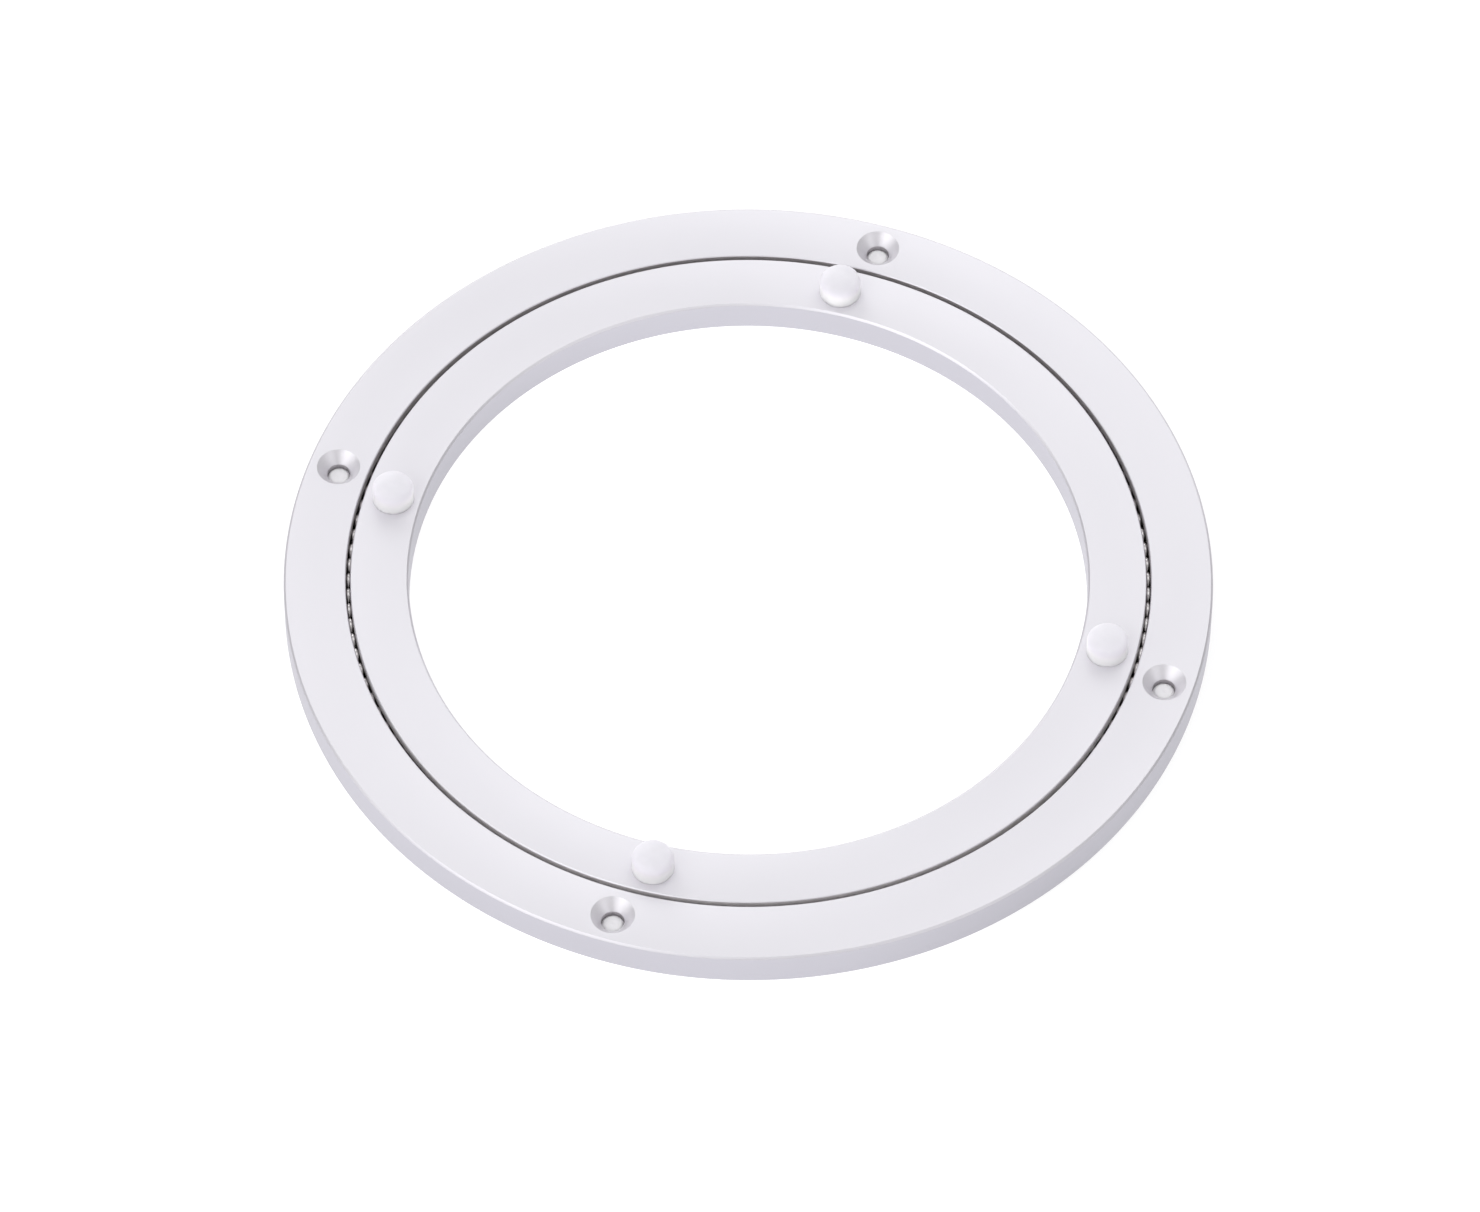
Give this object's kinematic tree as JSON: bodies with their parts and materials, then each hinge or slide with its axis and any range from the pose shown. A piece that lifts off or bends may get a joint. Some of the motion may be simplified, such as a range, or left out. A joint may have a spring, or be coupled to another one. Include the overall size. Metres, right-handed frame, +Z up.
{
  "type": "lazy susan bearing",
  "caption": "Flat turntable bearing: two aluminium rings that turn on a full row of steel balls, with countersunk screw holes in the outer ring and soft pads on the inner ring.",
  "frame": {"origin": "centre of the outer ring's underside, on the surface that it stands on", "axes": "+Z up along the turning axis; +X and +Y through the centres of screw holes in the outer ring"},
  "size_m": [0.2, 0.2, 0.0138],
  "materials": {
    "ring_aluminium": "fine matte anodised",
    "ball_steel": "polished",
    "plug_steel": "zinc plated, satin",
    "pad_silicone": "translucent white, satin"
  },
  "bodies": {
    "outer": {"outer_ring": "ring_aluminium", "loading_plug": "plug_steel"},
    "balls": {"bearing_balls": "ball_steel"},
    "inner": {"inner_ring": "ring_aluminium", "pad_1": "pad_silicone", "pad_2": "pad_silicone", "pad_3": "pad_silicone", "pad_4": "pad_silicone"}
  },
  "joints": [
    {"name": "inner_turn", "type": "hinge", "parent": "outer", "child": "inner", "pos_m": [0, 0, 0.00425], "axis": [0, 0, 1], "continuous": true},
    {"name": "ball_orbit", "type": "hinge", "parent": "outer", "child": "balls", "pos_m": [0, 0, 0.00425], "axis": [0, 0, 1], "continuous": true}
  ],
  "couplings": [
    {"joint": "ball_orbit", "follows": "inner_turn", "ratio": 0.4885}
  ]
}
